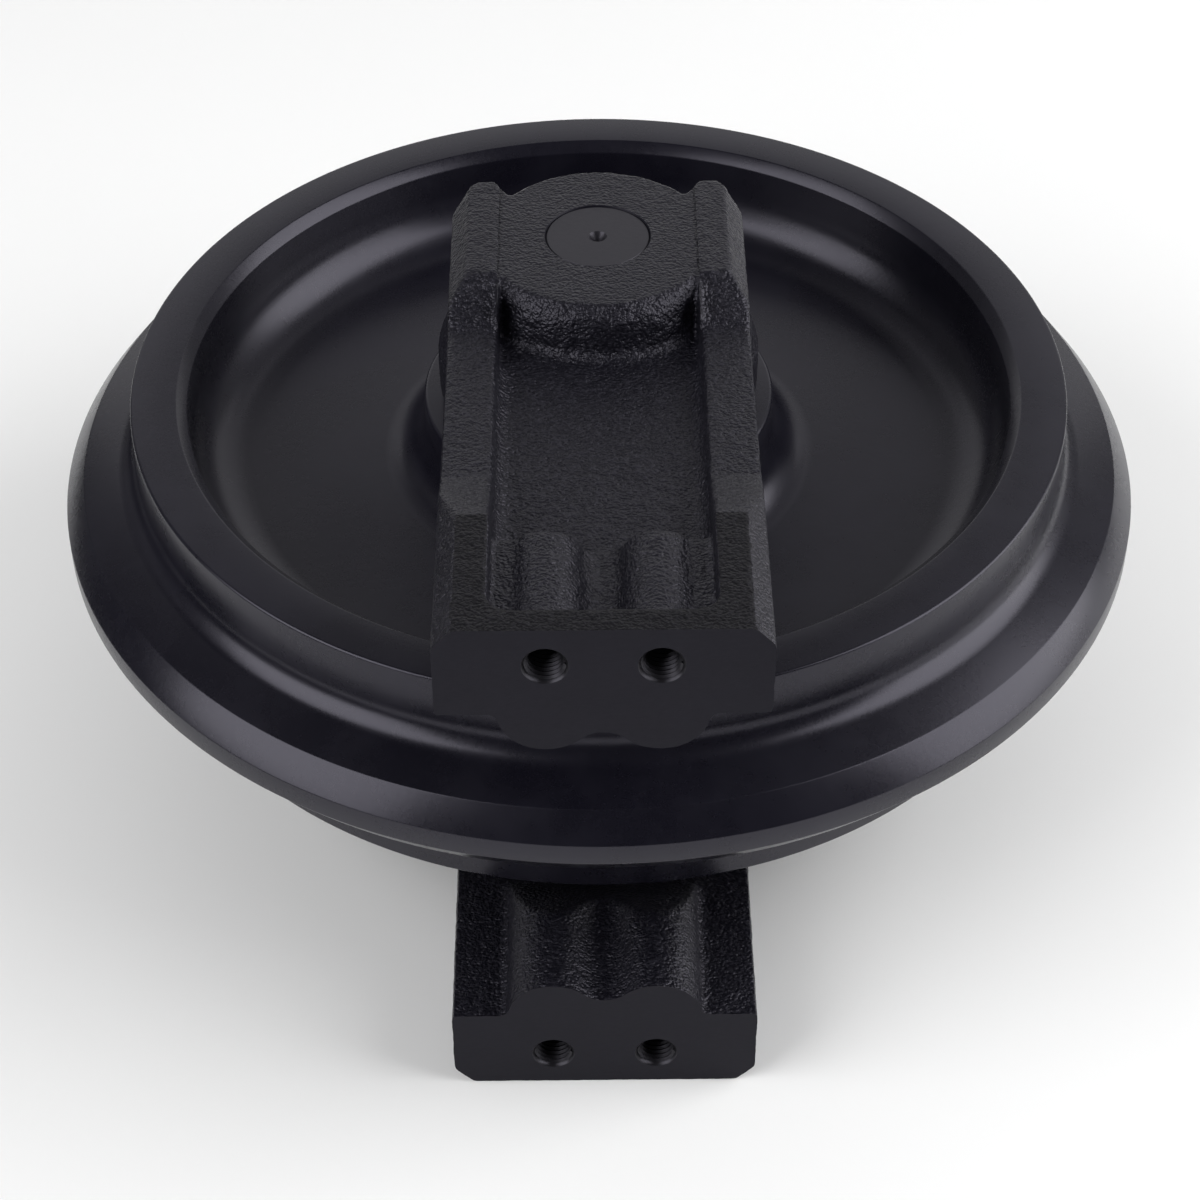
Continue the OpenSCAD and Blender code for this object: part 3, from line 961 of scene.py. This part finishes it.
    @staticmethod
    def roughen(piece: bpy.types.Object, grain: Grain) -> None:
        """Presses sand grain into a casting."""
        sand = bpy.data.textures.new("sand", "CLOUDS")
        sand.noise_scale = grain.size * MM
        sand.noise_depth = 2
        settings = {
            "texture": sand,
            "texture_coords": "LOCAL",
            "strength": grain.depth * MM,
            "mid_level": 0.5,
            "vertex_group": grain.group,
        }
        Workbench.modify(piece, "DISPLACE", settings)

    def cast(self) -> bpy.types.Object:
        """Makes the raw casting, with stock left on the bolted face and no holes."""
        word = self.side.word
        casting = Workbench.copy_node(f"{word}_bracket", f"{word}_bracket_casting")
        Workbench.cut(casting, self.lip_cutter())
        front = (-self.reach + self.face_near) * MM
        with Workbench.editing(casting, lambda place: place.y < front):
            bpy.ops.transform.translate(value=(0.0, -self.allowance * MM, 0.0))
        Workbench.join(casting, self.fillers())
        Workbench.modify(casting, "REMESH", {"mode": "VOXEL", "voxel_size": self.voxel * MM})
        Workbench.modify(casting, "SMOOTH", {"factor": self.soften, "iterations": self.soften_times})
        self.weigh(casting, "apron", self.is_apron)
        self.weigh(casting, "pocket", self.is_pocket)
        apron = {"factor": self.soften, "iterations": self.apron_soften_times, "vertex_group": "apron"}
        Workbench.modify(casting, "SMOOTH", apron)
        for grain in GRAINS:
            self.roughen(casting, grain)
        return casting

    def drills(self) -> list[bpy.types.Object]:
        """Cutters for bolt holes, shaft bore, seal seat and lock pin hole."""
        mouth = self.bolt_r + self.bolt_bevel
        bolt = [
            Corner(0.0, -self.overshoot),
            Corner(mouth + self.overshoot, -self.overshoot),
            Corner(self.bolt_r, self.bolt_bevel),
            Corner(self.bolt_r, self.bolt_depth),
            Corner(0.0, self.bolt_tip),
        ]
        bore_foot, bore_top = self.nose_z - self.bore_under, self.boss_z + self.overshoot
        bore = [
            Corner(0.0, bore_foot),
            Corner(self.bore_r, bore_foot),
            Corner(self.bore_r, self.boss_z - self.bore_bevel),
            Corner(self.bore_r + self.bore_bevel + self.overshoot, bore_top),
            Corner(0.0, bore_top),
        ]
        seat_r, seat_foot = self.housing_r + self.seat_past, self.nose_z - self.seat_under
        seat = [
            Corner(0.0, seat_foot),
            Corner(seat_r, seat_foot),
            Corner(seat_r, self.housing_z),
            Corner(self.seal_bore_r, self.housing_z),
            Corner(self.seal_bore_r, self.seal_floor_z),
            Corner(self.nose_r, self.seal_floor_z),
            Corner(self.nose_r, self.nose_z),
            Corner(0.0, self.nose_z),
        ]
        pin = [
            Corner(0.0, 0.0),
            Corner(self.pin_r, 0.0),
            Corner(self.pin_r, self.pin_len),
            Corner(0.0, self.pin_len),
        ]
        pin_foot = (self.pin_x * MM, self.pin_foot_y * MM, self.height(self.pin_z) * MM)
        pin_place = Matrix.Translation(pin_foot) @ Matrix.Rotation(-math.pi / 2.0, 4, "X")
        tools = [self.rod("bolt_drill", bolt, self.along_bolt(x)) for x in (-self.bolt_x, self.bolt_x)]
        tools.append(self.rod("shaft_drill", bore, self.upright(), FINE_TURN))
        tools.append(self.rod("seal_cutter", seat, self.upright(), FINE_TURN))
        tools.append(self.rod("pin_drill", pin, pin_place))
        return tools

    def build(self) -> bpy.types.Object:
        """Casts the bracket and machines it."""
        bracket = self.cast()
        with Workbench.editing(bracket):
            bpy.ops.mesh.bisect(
                plane_co=(0.0, -self.reach * MM, 0.0),
                plane_no=(0.0, -1.0, 0.0),
                use_fill=True,
                clear_outer=True,
            )
        for tool in [self.mill(), *self.drills()]:
            Workbench.cut(bracket, tool)
        Workbench.smooth(bracket, self.crisp)
        faces = bracket.data.polygons
        soft = [not (self.is_front(face) or self.is_skimmed(face)) for face in faces]
        faces.foreach_set("use_smooth", soft)
        return bracket

    def mill(self) -> bpy.types.Object:
        """Cutter that skims the boss flat between the rails."""
        near, far = (-self.pocket_x, self.skim_front_y), (self.pocket_x, self.boss_r + self.skim_past)
        return self.slab("boss_mill", near, far, (self.boss_z - self.skim, self.boss_z + self.skim_over))

    def is_front(self, face: bpy.types.MeshPolygon) -> bool:
        """Whether a face of the bracket lies in the bolted face."""
        return face.normal.y < -FLAT and face.center.y / MM < -self.reach + self.face_slack

    def is_skimmed(self, face: bpy.types.MeshPolygon) -> bool:
        """Whether a face of the bracket lies in the boss's flat end."""
        level = abs(self.height(face.center.z / MM) - self.boss_z + self.skim) < self.skim_slack
        return level and face.normal.z * self.side.value > FLAT

    def is_pad(self, face: bpy.types.MeshPolygon) -> bool:
        """Whether a face of the bracket lies on top of the front wall or the rails beside it."""
        if face.normal.z * self.side.value <= self.pad_level or face.center.y / MM >= self.pad_y:
            return False
        return self.height(face.center.z / MM) > self.out_z - self.pad_depth

    def is_drilled(self, face: bpy.types.MeshPolygon) -> bool:
        """Whether a face of the bracket lies in a bolt hole."""
        x, y, z = (part / MM for part in face.center)
        off_axis = math.hypot(abs(x) - self.bolt_x, self.height(z) - self.bolt_z)
        return off_axis < self.bolt_r + self.bolt_bevel and y < -self.reach + self.bolt_tip

    def is_machined(self, face: bpy.types.MeshPolygon) -> bool:
        """Whether a face of the bracket belongs to the bolted face, the shaft bore or the seal seat."""
        off_axle, z = math.hypot(face.center.x, face.center.y) / MM, self.height(face.center.z / MM)
        in_bore = off_axle < self.bore_r + self.bore_bevel + self.slack and not self.is_skimmed(face)
        if self.is_front(face) or in_bore:
            return True
        in_seat = off_axle < self.housing_r and z < self.seal_floor_z + self.slack
        return in_seat and (abs(face.normal.z) > NEARLY_FLAT or off_axle < self.seal_bore_r + self.slack)

    def threads(self) -> list[bpy.types.Object]:
        """Thread ridges in the two bolt holes, one made and one copied."""
        top = (self.bolt_r - self.thread_depth) * MM
        wall = (self.bolt_r + self.thread_root) * MM
        half = self.thread_pitch * self.thread_foot * MM
        start = (self.bolt_bevel + self.thread_start) * MM
        crest = self.thread_crest * MM
        profile = [
            (wall, start - half),
            (top, start - crest),
            (top, start + crest),
            (wall, start + half),
        ]
        ridge = Workbench.line(f"{self.side.word}_thread_1", profile + profile[:1])
        Workbench.weld(ridge)
        settings = {
            "axis": "Z",
            "steps": self.thread_steps,
            "render_steps": self.thread_steps,
            "iterations": self.thread_turns,
            "screw_offset": self.thread_pitch * MM,
        }
        Workbench.modify(ridge, "SCREW", settings)
        with Workbench.editing(ridge):
            bpy.ops.mesh.select_all(action="DESELECT")
            bpy.ops.mesh.select_non_manifold()
            bpy.ops.mesh.edge_face_add()
        Workbench.weld(ridge)
        Workbench.smooth(ridge, self.thread_crisp)
        Workbench.hold(ridge)
        bpy.ops.object.duplicate(linked=False)
        other = bpy.context.active_object
        other.name = other.data.name = f"{self.side.word}_thread_2"
        Workbench.move(ridge, self.along_bolt(-self.bolt_x))
        Workbench.move(other, self.along_bolt(self.bolt_x))
        return [ridge, other]

    def dress(self, bracket: bpy.types.Object, ridges: Sequence[bpy.types.Object]) -> None:
        """Paints the bracket and its threads, and puts it in place of its CAD node.

        Args:
            bracket: the finished casting.
            ridges: the threads in its bolt holes.
        """
        finishes = (CastPaint(), MachinedPaint(), DRILLED_SHADED, DULLED)
        paint(bracket, *(finish.material() for finish in finishes))
        # Faces in the bolt holes get the near-black paint, painted shade of the deep holes.
        tests = (self.is_machined, self.is_drilled, self.is_pad)
        faces = bracket.data.polygons
        marks = [next((i for i, test in enumerate(tests, 1) if test(face)), 0) for face in faces]
        faces.foreach_set("material_index", marks)
        bracket.data.update()
        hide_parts(f"{self.side.word}_bracket")
        # The threads take the near-black hole paint, painted shade of the deep holes.
        for ridge in ridges:
            paint(ridge, bracket.data.materials[finishes.index(DRILLED_SHADED)])
        for piece in (bracket, *ridges):
            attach(piece, Body.AXLE.value)


@dataclass
class ShaftAndSeals:
    """Axle shaft, bushings, face seals, rubber rings, pins and plug, kept as the CAD made them."""

    bronze: TurnedMetal = TurnedMetal("bearing_bronze", (0.62, 0.40, 0.17), (0.38, 0.23, 0.10))
    iron: TurnedMetal = TurnedMetal("lapped_iron", (0.42, 0.42, 0.44), (0.25, 0.24, 0.24), 0.24)
    spring: TurnedMetal = TurnedMetal("blued_spring_steel", (0.10, 0.10, 0.13), (0.06, 0.05, 0.06))
    zinc: TurnedMetal = TurnedMetal("plug_zinc", (0.48, 0.48, 0.50), (0.32, 0.31, 0.30), 0.36)
    copper: TurnedMetal = TurnedMetal("gasket_copper", (0.72, 0.35, 0.21), (0.40, 0.20, 0.13))
    end_paint: MachinedPaint = MachinedPaint(
        "shaft_end_paint", (0.014, 0.0135, 0.0164), (0.018, 0.0173, 0.021), 0.40, 1.45
    )
    rubber: Rubber = Rubber()

    def dress(self) -> None:
        """Gives each of these CAD nodes its material."""
        finishes = {
            "shaft": self.end_paint,
            "bushing": self.bronze,
            "seal_ring": self.iron,
            "toric": self.rubber,
            "o_ring": self.rubber,
            "lock_pin": self.spring,
            "oil_plug": self.zinc,
            "plug_gasket": self.copper,
        }
        made: dict[str, bpy.types.Material] = {}
        for name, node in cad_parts.items():
            key = next((key for key in finishes if name.endswith(key)), None)
            if key is None:
                continue
            finish = finishes[key]
            if finish.name not in made:
                made[finish.name] = finish.material()
            material = made[finish.name]
            for slot in node.material_slots:
                slot.material = material
            LOG.info("%s gets %s", name, material.name)


@dataclass(frozen=True)
class Panel:
    """Soft panel that faces the idler.

    Attributes:
        name: the panel's name.
        azimuth: where it stands, in degrees from the front, towards the right.
        elevation: its height, in degrees.
        distance: how far it is, in metres.
        size: its width and height, in metres.
        radiance: how bright its face is.
    """

    name: str
    azimuth: float
    elevation: float
    distance: float
    size: Point
    radiance: float

    def eye(self) -> Vector:
        """Where the panel hangs."""
        turn, lift = math.radians(self.azimuth), math.radians(self.elevation)
        way = Vector((math.sin(turn) * math.cos(lift), -math.cos(turn) * math.cos(lift), math.sin(lift)))
        return way * self.distance


PANELS = (
    Panel("left_panel", -61.0, 30.5, 2.0, (1.7, 1.75), 3.8),
    Panel("right_panel", 84.0, 28.0, 2.0, (1.9, 2.0), 4.1),
    Panel("back_panel", 180.0, 19.5, 2.4, (3.4, 1.7), 0.79),
    Panel("over_back_panel", 180.0, 47.0, 2.4, (2.0, 0.7), 0.20),
    Panel("over_right_panel", 140.0, 52.0, 2.2, (1.2, 1.1), 0.42),
    Panel("over_left_panel", -142.0, 50.0, 2.2, (1.2, 1.1), 0.25),
    Panel("wall_right_panel", 128.0, 18.0, 2.4, (1.5, 1.4), 0.30),
    Panel("wall_left_panel", -125.0, 18.0, 2.4, (1.5, 1.4), 0.16),
)


@dataclass
class Studio:
    """White floor, soft light from both sides and from behind, and a camera at the photograph's angle.

    Its lengths are in metres, its angles in degrees and its gaps under the idler in millimetres.
    """

    eye: tuple[float, float, float] = (-0.00475, -0.9006, 0.7442)
    target: tuple[float, float, float] = (0.0, -0.0364, -0.0401)
    roll: float = -0.27
    lens: float = 85.6
    sensor: float = 36.0
    near: float = 0.01
    floor_size: float = 30.0
    floor_gap: float = 0.6
    paper_size: float = 3.0
    paper_x: float = 0.95
    paper_gap: float = 0.4
    fill: float = 0.7
    fill_spread: float = 120.0
    air: float = 0.03

    def floor(self) -> None:
        """Lays a sheet of paper under the lower bracket and a floor around it that no gloss mirrors."""
        paper = StudioPaper().material()
        sheet = ("studio_sheet", self.paper_size, self.paper_x, self.paper_gap)
        ground = ("studio_floor", self.floor_size, 0.0, self.floor_gap)
        for name, size, x, gap in (sheet, ground):
            Workbench.clear()
            bpy.ops.mesh.primitive_plane_add(size=size, location=(x, 0.0, CAD_BOX[0].z - gap * MM))
            floor = bpy.context.active_object
            floor.name = floor.data.name = name
            floor.visible_glossy = name == sheet[0]
            bpy.ops.object.transform_apply(location=True, rotation=True, scale=True)
            paint(floor, paper)

    @staticmethod
    def aim(eye: Sequence[float], target: Sequence[float], roll: float = 0.0) -> Matrix:
        """Place of something that looks from one point at another.

        Args:
            eye: where it stands.
            target: what it looks at.
            roll: its turn about the line of sight, in degrees.

        Returns:
            Its matrix.
        """
        ahead = (Vector(target) - Vector(eye)).normalized()
        right = ahead.cross(Vector((0.0, 0.0, 1.0))).normalized()
        up = right.cross(ahead)
        turn = Matrix((right, up, -ahead)).transposed().to_4x4()
        return Matrix.Translation(eye) @ turn @ Matrix.Rotation(math.radians(roll), 4, "Z")

    def lights(self) -> None:
        """Sets the panels, a soft fill from above and the even light of the room."""
        for panel in PANELS:
            data = bpy.data.lights.new(panel.name, "AREA")
            data.shape = "RECTANGLE"
            data.size, data.size_y = panel.size
            data.energy = panel.radiance * math.pi * panel.size[0] * panel.size[1]
            lamp = bpy.data.objects.new(panel.name, data)
            bpy.context.scene.collection.objects.link(lamp)
            lamp.matrix_world = self.aim(panel.eye(), (0.0, 0.0, 0.0))
        fill = bpy.data.lights.new("overhead_fill", "SUN")
        fill.energy, fill.angle = self.fill, math.radians(self.fill_spread)
        lamp = bpy.data.objects.new("overhead_fill", fill)
        lamp.visible_glossy = False
        bpy.context.scene.collection.objects.link(lamp)
        world = bpy.data.worlds.new("studio_air")
        world.use_nodes = True
        air = world.node_tree.nodes["Background"]
        air.inputs["Color"].default_value = (1.0, 1.0, 1.0, 1.0)
        air.inputs["Strength"].default_value = self.air
        bpy.context.scene.world = world

    def camera(self) -> None:
        """Stands the camera."""
        data = bpy.data.cameras.new("camera")
        data.lens = self.lens
        data.sensor_width = self.sensor
        data.clip_start = self.near
        camera = bpy.data.objects.new("camera", data)
        bpy.context.scene.collection.objects.link(camera)
        camera.matrix_world = self.aim(self.eye, self.target, self.roll)
        bpy.context.scene.camera = camera

    def build(self) -> None:
        """Sets up the whole studio."""
        self.floor()
        self.lights()
        self.camera()
        bpy.context.scene.view_settings.view_transform = "Standard"


def main() -> None:
    """Builds the pieces in order, dresses them and sets up the studio."""
    logging.basicConfig(level=logging.INFO, format="%(name)s: %(message)s")
    Studio().build()
    wheel_plan = IdlerWheel()
    wheel = wheel_plan.build()
    wheel_plan.dress(wheel)
    LOG.info("wheel turned, %d faces", len(wheel.data.polygons))
    for side in Side:
        plan = GuideBracket(side)
        bracket = plan.build()
        plan.dress(bracket, plan.threads())
        LOG.info("%s bracket cast and machined, %d faces", side.word, len(bracket.data.polygons))
    ShaftAndSeals().dress()


if __name__ == "__main__":
    main()
